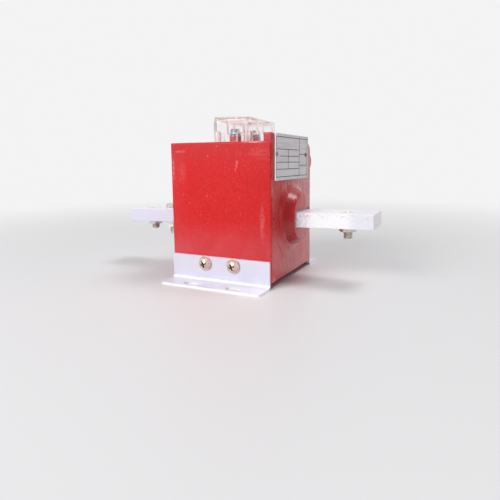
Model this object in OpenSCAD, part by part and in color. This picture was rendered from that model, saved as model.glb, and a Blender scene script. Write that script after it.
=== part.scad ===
// Cast-resin current transformer with a through bar, a strip-wound ring core and a clear terminal cover.
// The origin is on the ground under the middle of the casting. The bar runs along X, the front face is -Y.

/* [Casting] */
// Width of the casting, along the bar
body_w = 96; // [88:1:140]
// Depth of the casting, front to back
body_d = 95.5; // [94:1:140]
// Height of the casting
body_h = 116; // [112:1:150]
// Gap under the casting, above the ground
body_lift = 5; // [3:0.5:9]
// Radius of the casting's edges
edge_r = 1.5; // [0.5:0.25:4]
// Radius of the rounding along the casting's top back edge
back_edge_r = 12; // [4:0.5:12]
// Height of the bar's axis above the ground, at the middle of the casting
bar_z = 53.1; // [52:0.1:60]

/* [Side bosses] */
// Radius of the boss at its foot
boss_foot_r = 26; // [24:0.1:28]
// Radius of the boss at its end face
boss_end_r = 21.2; // [21:0.1:23]
// How far the boss stands out of the side face
boss_h = 9; // [6:0.5:14]
// Outer radius of the shallow skirt round the boss's foot
skirt_r = 29.8; // [29:0.1:33]
// Height of the skirt
skirt_h = 1.2; // [0.6:0.1:2]
// Height of the bosses' centres over the bar's axis
boss_up = 1; // [0:0.1:1.2]
// Rounding of the boss's end edge
boss_nose_r = 1.2; // [0.5:0.1:2]
// Radius of the low round pad that the boss stands on
pad_r = 38; // [36:0.5:44]
// Height of the low round pad
pad_h = 0.3; // [0.2:0.1:1]

/* [Plate rib] */
// Thickness of the raised rib along the top right edge
rib_t = 7.2; // [5:0.2:12]
// Height of the rib above the casting's top
rib_h = 6.7; // [4:0.1:10]
// How much lower the rib's top is at its back end
rib_fall = 1.5; // [0:0.1:2.5]
// Distance from the casting's front face to the rib's front end
rib_front = 1.2; // [0.5:0.1:6]
// Distance from the casting's back face to the rib's back end
rib_back = 8.5; // [6:0.5:12]

/* [Gate stub] */
// Radius of the round gate stub on the back face
gate_r = 15; // [10:0.5:16]
// How far the gate stub stands out
gate_h = 5; // [1:0.2:6]
// Distance from the casting's right side to the stub's edge
gate_side = 0.5; // [0.4:0.1:8]
// Distance from the casting's top to the stub's centre
gate_drop = 18; // [17:0.5:40]

/* [Primary bar] */
// How far the bar stands out of each side face
bar_reach = 74.5; // [68:0.5:110]
// Width of the bar
bar_w = 32; // [28:0.5:33]
// Thickness of the bar
bar_t = 12.4; // [8:0.1:14]
// Tilt of the bar as it was cast in, its right end up, in degrees
bar_tilt = 1.1; // [0:0.1:1.5]
// Radius of the bar's long edges
bar_edge_r = 0.6; // [0.3:0.1:1.5]
// Wall of the insulating sleeve on the bar
sleeve_t = 1.5; // [1:0.25:2]
// Distance the insulating sleeve stops short of a boss's end face
sleeve_end = 0.6; // [0.4:0.1:3]

/* [Bar fasteners] */
// Thread diameter of the bar's screws
bar_thread_d = 8; // [6:1:10]
// Width of their nuts and hexagon head across flats
bar_hex_af = 13; // [12:0.5:17]
// Height of the hexagon bolt's nut
bar_nut_h = 6.5; // [4:0.5:8]
// Height of the thin nuts on the flush screws
thin_nut_h = 4; // [3.5:0.5:6.5]
// Diameter of the flush countersunk heads
flush_head_d = 15; // [13:0.5:18]
// Height of the hexagon head
hex_head_h = 4.2; // [4:0.1:7]
// Distance of the right flush screw from the bar's right end
right_screw_in = 24.7; // [12:0.1:45]
// Distance of the left flush screw from the bar's left end
left_screw_in = 18; // [12:0.5:23]
// Distance of the left hexagon bolt from the bar's left end
left_bolt_in = 41; // [40:0.5:47]
// Thread left standing below the nut of the right flush screw
right_screw_tail = 6.2; // [3:0.1:8]
// Thread left standing below the nut of the left flush screw
left_screw_tail = 5; // [3:0.1:8]
// Thread left standing below the nut of the hexagon bolt
bolt_tail = 7.2; // [4:0.2:14]

/* [Core and winding] */
// Inner radius of the strip-wound core
core_ri = 27; // [26.5:0.1:28]
// Outer radius of the strip-wound core
core_ro = 38; // [34:0.25:38.5]
// Width of the core's strip
core_w = 40; // [24:1:50]
// Step where the strip starts and ends
strip_step = 0.4; // [0.2:0.1:0.8]
// Turn lines shown on each face of the core
strip_lines = 6; // [2:1:10]
// Thickness of the core's insulation
core_wrap_t = 1; // [0.5:0.25:1.25]
// Width and thickness of the winding's wire
wire_t = 1.8; // [1:0.1:1.9]
// Number of secondary turns
turns = 60; // [40:1:75]
// Thickness of the tape round the winding
tape_t = 1.2; // [0.6:0.2:1.4]

/* [Secondary terminals] */
// Distance of the terminals' centre behind the middle of the casting
terminal_y = 3.3; // [0:0.1:5]
// Distance between the two terminals
terminal_pitch = 39; // [34:0.5:40]
// Side of the square terminal pillars
pillar_w = 8; // [7.5:0.5:10]
// Height of the terminal pillars
pillar_h = 5.4; // [4:0.1:8]
// Diameter of the brass inserts' body
insert_d = 6.6; // [6.2:0.1:7.2]
// Length of the brass inserts
insert_l = 18; // [14:0.5:20]
// Thread diameter of the terminal screws
terminal_thread_d = 5; // [4:0.5:5]
// Length of the terminal screws under the head
terminal_screw_l = 12; // [8:0.5:14]
// Diameter of the terminal screws' heads
terminal_head_d = 8.5; // [8:0.5:10]
// Height of the terminal screws' heads
terminal_head_h = 3.3; // [2.5:0.1:4]
// Diameter of the terminal washers
washer_d = 10.4; // [9.6:0.2:12]
// Thickness of the flat terminal washers
washer_t = 1; // [0.6:0.1:1.5]
// Thickness of the spring washers
spring_washer_t = 1.3; // [0.8:0.1:1.8]

/* [Terminal cover] */
// Width of the clear cover
cover_w = 33.5; // [31:0.5:40]
// Depth of the clear cover
cover_d = 58.5; // [56:0.5:62]
// Height of the clear cover at its front
cover_h = 22; // [20:0.5:30]
// How much lower the clear cover is at its back
cover_fall = 2.3; // [0:0.1:3]
// Wall of the clear cover
cover_wall = 2; // [1.5:0.1:2.5]
// Rounding of the cover's edges
cover_edge_r = 1.2; // [0.5:0.1:1.4]
// Width of the arched cable entries
entry_w = 5.4; // [5:0.1:7]
// Height of the arched cable entries
entry_h = 9.5; // [8:0.5:11]
// Distance between the two entries in an end wall
entry_pitch = 18.6; // [13:0.2:19]
// Distance of the side walls' entries from the cover's middle
side_entry_y = 22; // [20:0.5:23]
// Distance between the two inner barriers
barrier_gap = 12.5; // [11:0.5:15]
// Thickness of the inner barriers
barrier_t = 1.5; // [1:0.1:2]
// How far the inner barriers hang below the roof
barrier_drop = 12; // [8:0.5:14]
// Outer diameter of the cover's screw post
post_d = 8; // [7:0.5:9]
// Thread diameter of the cover's screw
cover_thread_d = 4; // [3:0.5:4]
// Diameter of the cover screw's head
cover_head_d = 8; // [7:0.5:9]
// Height of the cover screw's head
cover_head_h = 2.6; // [2:0.1:3.2]

/* [Rating plate] */
// Length of the plate, front to back
plate_l = 79; // [60:1:82]
// Height of the plate
plate_h = 38.3; // [30:0.1:40]
// Thickness of the plate
plate_t = 0.8; // [0.5:0.1:1.5]
// Distance from the rib's top to the plate's top edge
plate_drop = 0.9; // [0.5:0.1:2]
// Distance of the plate's centre behind the casting's middle, or in front of it where negative
plate_y = -1.6; // [-2:0.1:2]
// How far the plate is turned, its back end down, in degrees
plate_turn = 0.9; // [0:0.1:1.5]
// Width of the etched lines
line_w = 0.7; // [0.4:0.1:1.5]
// Depth of the etched lines
line_depth = 0.15; // [0.1:0.05:0.3]
// Distance of the border line from the plate's edge
border_inset = 2.4; // [2:0.1:3]
// Distance between the plate's rivets
rivet_pitch = 68.5; // [54:0.5:69]
// Diameter of the rivet heads
rivet_head_d = 4.4; // [3:0.2:5]
// Diameter of the rivet shanks
rivet_d = 2.4; // [2:0.2:3]

/* [Brackets] */
// Thickness of the bracket sheet
sheet_t = 2; // [1.5:0.25:3]
// Height of a bracket above the ground
bracket_h = 23.6; // [23.4:0.1:30]
// How far a bracket's ends lie inside the casting's sides
bracket_inset = 0.9; // [0:0.1:3]
// Distance from the casting to the outer edge of a foot
foot_l = 21.3; // [21:0.1:34]
// Inner radius of the fold
fold_r = 2.5; // [1.5:0.25:4]
// Rounding of the sheet's corners
sheet_corner_r = 2; // [1:0.5:3]
// Distance between the slots of one foot
slot_pitch = 40; // [36:1:56]
// Width of the mounting slots
slot_w = 7.5; // [5:0.5:8]
// Length of the mounting slots
slot_l = 14.5; // [10:0.5:16]
// Distance from the casting to the slots' centre line
slot_out = 14.4; // [14:0.1:14.6]
// Distance between a bracket's screws
bracket_screw_pitch = 27.6; // [20:0.2:50]
// Height of the bracket screws above the ground
bracket_screw_z = 17.1; // [16.6:0.1:17.3]
// Thread diameter of the bracket screws
bracket_thread_d = 6; // [5:0.5:6]
// Diameter of the bracket screws' heads
bracket_head_d = 12.4; // [11:0.2:13]
// Height of the bracket screws' heads
bracket_head_h = 4.4; // [3:0.2:5]
// Length of the bracket screws under the head
bracket_screw_l = 12; // [8:0.5:14]

/* [Hidden] */
$fn = 48;

// Clearance between a piece and the resin or part that it is set in
fit = 0.1;
// Play between a screw's shank and the plain hole that it passes through
hole_play = 0.6;
// Overshoot of a cut past the face that it opens
over = 1;
// Overlap that joins two shapes of one solid
weld = 0.5;

body_top = body_lift + body_h;
bar_l = body_w + 2 * bar_reach;
bar_top = bar_z + bar_t / 2;
bar_under = bar_z - bar_t / 2;
sleeve_l = body_w + 2 * (boss_h - sleeve_end);
boss_rise = (body_w / 2 + boss_h) * tan(bar_tilt);
right_screw_x = bar_l / 2 - right_screw_in;
left_screw_x = bar_l / 2 - left_screw_in;
left_bolt_x = bar_l / 2 - left_bolt_in;

// Radii and half widths of the shells round the core, from the inside out
wrap_ri = core_ri - fit - core_wrap_t;
wrap_ro = core_ro + fit + core_wrap_t;
wrap_x = core_w / 2 + fit + core_wrap_t;
wire_ri = wrap_ri - fit - wire_t;
wire_ro = wrap_ro + fit + wire_t;
wire_x = wrap_x + fit + wire_t;
tape_ri = wire_ri - fit - tape_t;
tape_ro = wire_ro + fit + tape_t;
tape_x = wire_x + fit + tape_t;

// Outer radius of a turn's corners
turn_r = 1.6;
// Width and depth of the turn lines on the core's faces
strip_groove = 0.3;
// Points along a spiral edge of the strip
spiral_points = 73;
// Diameter of the leads
lead_d = 2.4;

// Where the terminals stand, and the stack of washers under their screws' heads
terminal_ys = [terminal_y - terminal_pitch / 2, terminal_y + terminal_pitch / 2];
pillar_top = body_top + pillar_h;
pillar_edge_r = 0.8;
washer_stack = 2 * washer_t + spring_washer_t;
// Widened foot that keeps an insert from turning and pulling out
insert_foot = pillar_top - insert_l;
insert_flange_d = insert_d + 2.4;
insert_flange_h = 3;
// Slot across a terminal screw's head, and the head's chamfer
driver_slot_w = 1.2;
driver_slot_depth = 1.5;
terminal_head_chamfer = 0.6;
// Cut through a spring washer
spring_gap = 0.5;
spring_gap_turn = 20;

// Depth of a countersink, and the hexagon socket in a flush head
flush_depth = (flush_head_d - bar_thread_d) / 2;
socket_af = 5;
socket_depth = 2.5;
// Chamfer at the tip of a thread
tip_chamfer = 1;
// How far each nut is turned from square
right_nut_turn = 12;
left_nut_turn = 5;

// Angle of the cover's roof, and the level seat of its screw
cover_slope = atan(cover_fall / (cover_d - 2 * cover_edge_r));
cover_seat_drop = 0.8;
cover_roof = body_top + cover_h - cover_fall / 2;
cover_seat = cover_roof - cover_seat_drop;
cover_insert_l = 10;
cover_insert_d = cover_thread_d + 2;
cover_inner_r = 0.6;
// Thread of the cover's screw in its insert
cover_screw_grip = 6;
cover_screw_l = cover_seat - body_top + cover_screw_grip;
// Cross recess of the cover's screw
cover_cross_l = 4.4;
cover_cross_w = 0.9;
cover_cross_depth = 1.6;

gate_z = body_top - gate_drop;
plate_top = body_top + rib_h - plate_drop;
plate_z = plate_top - plate_h / 2;
plate_corner_r = 1;
// How far the rivets sit above the middle of the plate and towards its front
rivet_above = 2.4;
rivet_ahead = 1.7;
rivet_l = 6;
rivet_head_h = 1;
// Bare margin of flat casting round the plate
plate_margin = 1;
rib_edge_r = 1;
gate_edge_r = 1;
// Height of the gate stub's top over the start of the back edge's rounding
gate_rise = max(0, back_edge_r + gate_r - gate_drop);
// Depth of the gate stub's root in the casting, past that rounding
gate_root = back_edge_r - sqrt(back_edge_r * back_edge_r - gate_rise * gate_rise) + weld;

face_y = body_d / 2;
bracket_insert_d = bracket_thread_d + 3;
bracket_insert_l = bracket_screw_l + 3;
bracket_w = body_w - 2 * bracket_inset;
// Cross recess of a bracket screw's head: its wings taper to the tip of a cone
cross_d = 0.56 * bracket_head_d;
cross_tip_d = 0.22 * bracket_head_d;
cross_w = 0.13 * bracket_head_d;
cross_depth = 3;
// Rim of a bracket screw's head
bracket_head_rim = 0.8;
bracket_screw_turn = 20;

// Square with rounded corners, centred
module rounded_square(w, h, r) {
    square([w - 2 * r, h], center = true);
    square([w, h - 2 * r], center = true);
    for (x = [-1, 1], y = [-1, 1])
        translate([x * (w / 2 - r), y * (h / 2 - r)])
            circle(r);
}

// Block with all twelve edges rounded: where its three rounded views meet
module rounded_block(w, d, h, r) {
    intersection() {
        linear_extrude(h, center = true)
            rounded_square(w, d, r);
        rotate([90, 0, 0])
            linear_extrude(d, center = true)
                rounded_square(w, h, r);
        rotate([90, 0, 90])
            linear_extrude(w, center = true)
                rounded_square(d, h, r);
    }
}

// Revolve about the X axis of a profile drawn as [radius, x]
module revolve_x() {
    rotate([0, 90, 0])
        rotate_extrude()
            children();
}

// Slot outline along X
module slot_outline(l, w) {
    square([l - w, w], center = true);
    for (s = [-1, 1])
        translate([s * (l - w) / 2, 0])
            circle(w / 2);
}

// Half outline of a side boss on its pad, as [radius, height above the side face]
module boss_profile() {
    taper = (boss_foot_r - boss_end_r) / boss_h;
    polygon([
        [0, -weld],
        [pad_r + pad_h, -weld],
        [pad_r + pad_h, 0],
        [pad_r, pad_h],
        [skirt_r, pad_h],
        [boss_foot_r - taper * (pad_h + skirt_h), pad_h + skirt_h],
        [boss_end_r + boss_nose_r * taper, boss_h - boss_nose_r],
        [boss_end_r - boss_nose_r, boss_h - boss_nose_r],
        [boss_end_r - boss_nose_r, boss_h],
        [0, boss_h]
    ]);
    translate([boss_end_r - boss_nose_r, boss_h - boss_nose_r])
        circle(boss_nose_r);
}

// Boss on the right side face, its centre a little over the tilted bar's
module side_boss(rise) {
    translate([body_w / 2, 0, bar_z + boss_up + rise])
        revolve_x()
            boss_profile();
}

// Turns the bar and what it carries about the casting's middle
module tilted() {
    translate([0, 0, bar_z])
        rotate([0, -bar_tilt, 0])
            translate([0, 0, -bar_z])
                children();
}

// Places a child at each terminal, on the casting's top
module at_terminals(z = 0) {
    for (y = terminal_ys)
        translate([0, y, z])
            children();
}

// Places a child at each bracket screw, with its axis along +Z pointing out of the face
module at_bracket_screws(side) {
    for (x = [-1, 1])
        translate([x * bracket_screw_pitch / 2, side * face_y, bracket_screw_z])
            rotate([-side * 90, 0, 0])
                children();
}

// Ring-shaped solid about the bar's axis
module ring(ri, ro, half_w) {
    translate([0, 0, bar_z])
        revolve_x()
            translate([ri, -half_w])
                square([ro - ri, 2 * half_w]);
}

module resin_body() {
    color("#cf3238")
        difference() {
            union() {
                difference() {
                    translate([0, 0, body_lift + body_h / 2])
                        rounded_block(body_w, body_d, body_h, edge_r);
                    back_rounding();
                }
                side_boss(boss_rise);
                mirror([1, 0, 0])
                    side_boss(-boss_rise);
                plate_rib();
                gate_stub();
                at_terminals(body_top - weld)
                    linear_extrude(pillar_h + weld)
                        rounded_square(pillar_w, pillar_w, pillar_edge_r);
            }
            ring(tape_ri - fit, tape_ro + fit, tape_x + fit);
            tilted()
                bar_way();
            lead_ways();
            insert_seats();
            plate_seat();
        }
}

// What the rounded top back edge leaves out of the casting
module back_rounding() {
    translate([-body_w, face_y - back_edge_r, body_top - back_edge_r])
        rotate([90, 0, 90])
            linear_extrude(2 * body_w)
                difference() {
                    square([back_edge_r + over, back_edge_r + over]);
                    circle(back_edge_r);
                }
}

// Places a child at the middle of the rating plate, which was riveted on a little askew
module at_plate() {
    translate([body_w / 2, plate_y, plate_z])
        rotate([-plate_turn, 0, 0])
            children();
}

// Places a child at each rivet, with its axis along +Z pointing out of the side face
module at_rivets() {
    at_plate()
        for (s = [-1, 1])
            translate([0, s * rivet_pitch / 2 - rivet_ahead, rivet_above])
                rotate([0, 90, 0])
                    children();
}

// Flat ground through the right boss's pad, where the rating plate lies
module plate_seat() {
    at_plate()
        translate([0, -plate_l / 2 - plate_margin, -plate_h / 2 - plate_margin])
            cube([boss_h, plate_l + 2 * plate_margin, plate_h + 2 * plate_margin]);
}

// Raised rib that carries the top of the rating plate, lower at the back
module plate_rib() {
    length = body_d - rib_front - rib_back;
    translate([
        body_w / 2 - rib_t / 2,
        (rib_front - rib_back) / 2,
        body_top + (rib_h - rib_fall) / 2 - edge_r
    ])
        rotate([-atan(rib_fall / length), 0, 0])
            rounded_block(rib_t, length, rib_h + 2 * edge_r, rib_edge_r);
}

// Ground-down gate that the resin was poured through
module gate_stub() {
    length = gate_h + gate_root;
    translate([body_w / 2 - gate_side - gate_r, face_y - gate_root, gate_z])
        rotate([-90, 0, 0])
            rotate_extrude() {
                square([gate_r - gate_edge_r, length]);
                square([gate_r, length - gate_edge_r]);
                translate([gate_r - gate_edge_r, length - gate_edge_r])
                    circle(gate_edge_r);
            }
}

// Space for the bar in its sleeve
module bar_way() {
    translate([0, 0, bar_z])
        cube([
            body_w + 2 * boss_h + 2 * over,
            bar_w + 2 * sleeve_t + 4 * fit,
            bar_t + 2 * sleeve_t + 4 * fit
        ], center = true);
}

// Height of the outer face of the winding over a point at distance y from the axis
function ring_top(r, y) = bar_z + sqrt(r * r - y * y);

// Ways of the two leads, from inside the tape up to the inserts
module lead_ways() {
    for (y = terminal_ys) {
        foot = ring_top(wire_ro, abs(y) + lead_d);
        translate([0, y, foot])
            cylinder(h = insert_foot - foot, d = lead_d + 2 * fit);
    }
}

module insert_seats() {
    at_terminals(insert_foot - fit) {
        cylinder(h = insert_l + over, d = insert_d + 2 * fit);
        cylinder(h = insert_flange_h + 2 * fit, d = insert_flange_d + 2 * fit);
    }
    translate([0, terminal_y, body_top - cover_insert_l - fit])
        cylinder(h = cover_insert_l + over, d = cover_insert_d + 2 * fit);
    for (side = [-1, 1])
        at_bracket_screws(side)
            translate([0, 0, -bracket_insert_l - fit])
                cylinder(h = bracket_insert_l + over, d = bracket_insert_d + 2 * fit);
    at_rivets()
        translate([0, 0, -rivet_l - fit])
            cylinder(h = rivet_l + over, d = rivet_d + 2 * fit);
}

module primary_bar() {
    color("#d9dade")
        tilted()
            difference() {
                translate([0, 0, bar_z])
                    rounded_block(bar_l, bar_w, bar_t, bar_edge_r);
                flush_hole(right_screw_x);
                flush_hole(-left_screw_x);
                translate([-left_bolt_x, 0, bar_under - over])
                    cylinder(h = bar_t + 2 * over, d = bar_thread_d + hole_play);
            }
}

// Countersunk hole through the bar
module flush_hole(x) {
    translate([x, 0, 0]) {
        translate([0, 0, bar_under - over])
            cylinder(h = bar_t + 2 * over, d = bar_thread_d + hole_play);
        translate([0, 0, bar_top])
            rotate_extrude()
                polygon([
                    [0, -flush_depth - fit],
                    [bar_thread_d / 2 + fit, -flush_depth - fit],
                    [flush_head_d / 2 + fit, 0],
                    [flush_head_d / 2 + fit, over],
                    [0, over]
                ]);
    }
}

module bar_sleeve() {
    color("#b9a27a")
        tilted()
            translate([0, 0, bar_z])
                difference() {
                    cube([
                        sleeve_l,
                        bar_w + 2 * sleeve_t + 2 * fit,
                        bar_t + 2 * sleeve_t + 2 * fit
                    ], center = true);
                    cube([sleeve_l + 2 * over, bar_w + 2 * fit, bar_t + 2 * fit], center = true);
                }
}

// Flush screw seen from its head: the head's face is at z = 0 and the thread points down
module flush_screw(length) {
    difference() {
        rotate_extrude()
            polygon([
                [0, 0],
                [flush_head_d / 2, 0],
                [bar_thread_d / 2, -flush_depth],
                [bar_thread_d / 2, -length + tip_chamfer],
                [bar_thread_d / 2 - tip_chamfer, -length],
                [0, -length]
            ]);
        translate([0, 0, -socket_depth])
            cylinder(h = socket_depth + over, d = socket_af / cos(30), $fn = 6);
    }
}

// Hexagon with both rims chamfered, standing on z = 0
module hexagon(af, h, under = true) {
    r = af / cos(30) / 2;
    rim = r - af / 2;
    slope = rim * tan(30);
    intersection() {
        cylinder(h = h, r = r, $fn = 6);
        rotate_extrude()
            polygon([
                [0, 0],
                [under ? af / 2 : r + rim, 0],
                [r + rim, under ? 2 * slope : 0],
                [r + rim, h - 2 * slope],
                [af / 2, h],
                [0, h]
            ]);
    }
}

// Nut of height h under the bar
module bar_nut(h) {
    translate([0, 0, bar_under - h])
        difference() {
            hexagon(bar_hex_af, h);
            translate([0, 0, -over])
                cylinder(h = h + 2 * over, d = bar_thread_d + fit);
        }
}

module right_bar_screw() {
    color("#b5b09a")
        tilted()
            translate([right_screw_x, 0, bar_top])
                flush_screw(bar_t + thin_nut_h + right_screw_tail);
}

module left_bar_screw() {
    color("#b5b09a")
        tilted()
            translate([-left_screw_x, 0, bar_top])
                flush_screw(bar_t + thin_nut_h + left_screw_tail);
}

module right_bar_nut() {
    color("#a9a6a0")
        tilted()
            translate([right_screw_x, 0, 0])
                rotate([0, 0, right_nut_turn])
                    bar_nut(thin_nut_h);
}

module left_bar_nut() {
    color("#a9a6a0")
        tilted()
            translate([-left_screw_x, 0, 0])
                rotate([0, 0, left_nut_turn])
                    bar_nut(thin_nut_h);
}

module left_hex_bolt() {
    length = bar_t + bar_nut_h + bolt_tail;
    color("#b5b09a")
        tilted()
            translate([-left_bolt_x, 0, bar_top]) {
                hexagon(bar_hex_af, hex_head_h, under = false);
                translate([0, 0, -length])
                    cylinder(h = tip_chamfer, r1 = bar_thread_d / 2 - tip_chamfer, r2 = bar_thread_d / 2);
                translate([0, 0, -length + tip_chamfer])
                    cylinder(h = length - tip_chamfer + weld, d = bar_thread_d);
            }
}

module left_hex_nut() {
    color("#a9a6a0")
        tilted()
            translate([-left_bolt_x, 0, 0])
                bar_nut(bar_nut_h);
}

// One turn of a spiral that ends a step further in than it starts
function spiral(r) = [
    for (i = [0:spiral_points - 1])
        let (angle = 360 * i / (spiral_points - 1), reach = r - strip_step * angle / 360)
            [reach * cos(angle), reach * sin(angle)]
];

// Section of the wound strip: both edges are spirals, with a step where the strip starts and ends
module strip_outline() {
    difference() {
        polygon(spiral(core_ro));
        polygon(spiral(core_ri + strip_step));
    }
}

module strip_core() {
    pitch = (core_ro - core_ri) / (strip_lines + 1);
    color("#7d8288")
        translate([0, 0, bar_z])
            difference() {
                rotate([0, 90, 0])
                    linear_extrude(core_w, center = true)
                        strip_outline();
                for (i = [1:strip_lines], s = [-1, 1])
                    revolve_x()
                        translate([
                            core_ri + i * pitch - strip_groove / 2,
                            s * core_w / 2 - strip_groove
                        ])
                            square([strip_groove, 2 * strip_groove]);
            }
}

// Closed ring-shaped shell
module shell_ring(ri, ro, half_w, t) {
    difference() {
        ring(ri, ro, half_w);
        ring(ri + t, ro - t, half_w - t);
    }
}

module core_insulation() {
    color("#d8c9a0")
        shell_ring(wrap_ri, wrap_ro, wrap_x, core_wrap_t);
}

// One turn of square wire round the core's section, as a flat frame of [x, radius]
module turn_outline() {
    mid = (wire_ri + wire_ro) / 2;
    span = wire_ro - wire_ri;
    translate([0, mid])
        difference() {
            rounded_square(2 * wire_x, span, turn_r);
            square([2 * (wire_x - wire_t), span - 2 * wire_t], center = true);
        }
}

module secondary_winding() {
    color("#b5652c")
        translate([0, 0, bar_z])
            for (i = [0:turns - 1])
                rotate([360 * i / turns, 0, 0])
                    rotate([90, 0, 0])
                        linear_extrude(wire_t, center = true)
                            turn_outline();
}

module winding_tape() {
    color("#e6dcc0")
        difference() {
            shell_ring(tape_ri, tape_ro, tape_x, tape_t);
            lead_ways();
        }
}

// Lead from the winding up to a terminal insert
module lead(y) {
    foot = ring_top(wire_ro, abs(y) - lead_d / 2) + fit;
    translate([0, y, foot])
        cylinder(h = insert_foot - foot, d = lead_d);
}

module start_lead() {
    color("#b5652c")
        lead(terminal_ys[0]);
}

module finish_lead() {
    color("#b5652c")
        lead(terminal_ys[1]);
}

module terminal_inserts() {
    bore_l = terminal_screw_l - washer_stack + weld;
    color("#c9a44c")
        at_terminals(insert_foot)
            difference() {
                union() {
                    cylinder(h = insert_l, d = insert_d);
                    cylinder(h = insert_flange_h, d = insert_flange_d);
                }
                translate([0, 0, insert_l - bore_l])
                    cylinder(h = bore_l + over, d = terminal_thread_d + fit);
            }
}

// Flat washer standing on z = 0
module washer(d, bore, t) {
    difference() {
        cylinder(h = t, d = d);
        translate([0, 0, -over])
            cylinder(h = t + 2 * over, d = bore);
    }
}

module terminal_flat_washers() {
    color("#b9babd")
        at_terminals(pillar_top)
            washer(washer_d, terminal_thread_d + fit, washer_t);
}

module terminal_spring_washers() {
    color("#8f8a86")
        at_terminals(pillar_top + washer_t)
            difference() {
                washer(terminal_head_d + 0.5, terminal_thread_d + fit, spring_washer_t);
                rotate([spring_gap_turn, 0, 0])
                    translate([0, 0, -over])
                        cube([washer_d, spring_gap, spring_washer_t + 3 * over]);
            }
}

module terminal_clamp_washers() {
    color("#b9babd")
        at_terminals(pillar_top + washer_t + spring_washer_t)
            washer(washer_d, terminal_thread_d + fit, washer_t);
}

module terminal_screws() {
    side_h = terminal_head_h - terminal_head_chamfer;
    color("#c4c5c8")
        at_terminals(pillar_top + washer_stack)
            difference() {
                union() {
                    cylinder(h = side_h, d = terminal_head_d);
                    translate([0, 0, side_h])
                        cylinder(
                            h = terminal_head_chamfer,
                            d1 = terminal_head_d,
                            d2 = terminal_head_d - 2 * terminal_head_chamfer
                        );
                    translate([0, 0, -terminal_screw_l])
                        cylinder(h = terminal_screw_l + weld, d = terminal_thread_d);
                }
                translate([
                    -terminal_head_d / 2,
                    -driver_slot_w / 2,
                    terminal_head_h - driver_slot_depth
                ])
                    cube([terminal_head_d, driver_slot_w, driver_slot_depth + over]);
            }
}

// Arched opening at the foot of a wall, running along Y
module entry_arch(length) {
    rotate([90, 0, 0])
        linear_extrude(length, center = true) {
            translate([-entry_w / 2, -over])
                square([entry_w, entry_h - entry_w / 2 + over]);
            translate([0, entry_h - entry_w / 2])
                circle(entry_w / 2);
        }
}

module terminal_cover() {
    inner_w = cover_w - 2 * cover_wall;
    inner_d = cover_d - 2 * cover_wall;
    inner_h = cover_h - cover_wall;
    seat_h = cover_seat - body_top;
    color("#f1e6dc", 0.45)
        translate([0, terminal_y, body_top])
            difference() {
                intersection() {
                    cover_block(cover_w, cover_d, cover_h, cover_edge_r);
                    union() {
                        difference() {
                            translate([-cover_w, -cover_d, 0])
                                cube([2 * cover_w, 2 * cover_d, cover_h + over]);
                            translate([0, 0, -over])
                                cover_block(inner_w, inner_d, inner_h + over, cover_inner_r);
                            cover_entries();
                        }
                        for (s = [-1, 1])
                            translate([0, s * barrier_gap / 2, inner_h - barrier_drop])
                                barrier();
                        translate([0, 0, fit])
                            cylinder(h = seat_h - fit, d = post_d);
                    }
                }
                translate([0, 0, -over])
                    cylinder(h = cover_h + 2 * over, d = cover_thread_d + hole_play);
                translate([0, 0, seat_h])
                    cylinder(h = cover_h, d = cover_head_d + 2 * hole_play);
            }
}

// Arched openings in the cover's four walls
module cover_entries() {
    for (s = [-1, 1]) {
        translate([s * entry_pitch / 2, 0, 0])
            entry_arch(cover_d + 2 * over);
        translate([0, s * side_entry_y, 0])
            rotate([0, 0, 90])
                entry_arch(cover_w + 2 * over);
    }
}

// Barrier between the two side walls, reaching up through the roof
module barrier() {
    translate([-cover_w / 2 + cover_wall / 2, -barrier_t / 2, 0])
        cube([cover_w - cover_wall, barrier_t, cover_h]);
}

// Block with rounded upright and top edges, a flat foot and a roof that falls towards the back
module cover_block(w, d, h, r) {
    intersection() {
        linear_extrude(h)
            rounded_square(w, d, r);
        rotate([90, 0, 90])
            linear_extrude(w, center = true)
                sloped_outline(d, h, r);
        translate([0, -d / 2 + r, h - r])
            rotate([-cover_slope, 0, 0])
                translate([0, 0, r - 2 * h])
                    rotate([90, 0, 0])
                        linear_extrude(3 * d, center = true)
                            top_rounded(w, 2 * h, r);
    }
}

// Side view of the cover's block: its top edge falls from the front corner to the back corner
module sloped_outline(d, h, r) {
    front = [-d / 2 + r, h - r];
    back = [d / 2 - r, h - r - (d - 2 * r) * tan(cover_slope)];
    rise = [r * sin(cover_slope), r * cos(cover_slope)];
    polygon([
        [-d / 2, 0],
        [d / 2, 0],
        [d / 2, back[1]],
        back,
        back + rise,
        front + rise,
        front,
        [-d / 2, front[1]]
    ]);
    translate(front)
        circle(r);
    translate(back)
        circle(r);
}

// Rectangle standing on y = 0 with its two top corners rounded
module top_rounded(w, h, r) {
    translate([-w / 2, 0])
        square([w, h - r]);
    translate([-w / 2 + r, 0])
        square([w - 2 * r, h]);
    for (s = [-1, 1])
        translate([s * (w / 2 - r), h - r])
            circle(r);
}

module cover_screw() {
    color("#c4c5c8")
        translate([0, terminal_y, cover_seat])
            difference() {
                union() {
                    rotate_extrude()
                        intersection() {
                            square([cover_head_d / 2, cover_head_h]);
                            translate([0, cover_head_h - cover_head_d * 1.1])
                                circle(cover_head_d * 1.1);
                        }
                    translate([0, 0, -cover_screw_l])
                        cylinder(h = cover_screw_l + weld, d = cover_thread_d);
                }
                for (a = [0, 90])
                    rotate([0, 0, a])
                        translate([
                            -cover_cross_l / 2,
                            -cover_cross_w / 2,
                            cover_head_h - cover_cross_depth
                        ])
                            cube([cover_cross_l, cover_cross_w, cover_cross_depth + over]);
            }
}

module cover_insert() {
    color("#c9a44c")
        translate([0, terminal_y, body_top - cover_insert_l])
            difference() {
                cylinder(h = cover_insert_l, d = cover_insert_d);
                translate([0, 0, cover_insert_l - cover_screw_grip - weld])
                    cylinder(h = cover_screw_grip + weld + over, d = cover_thread_d + fit);
            }
}

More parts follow.
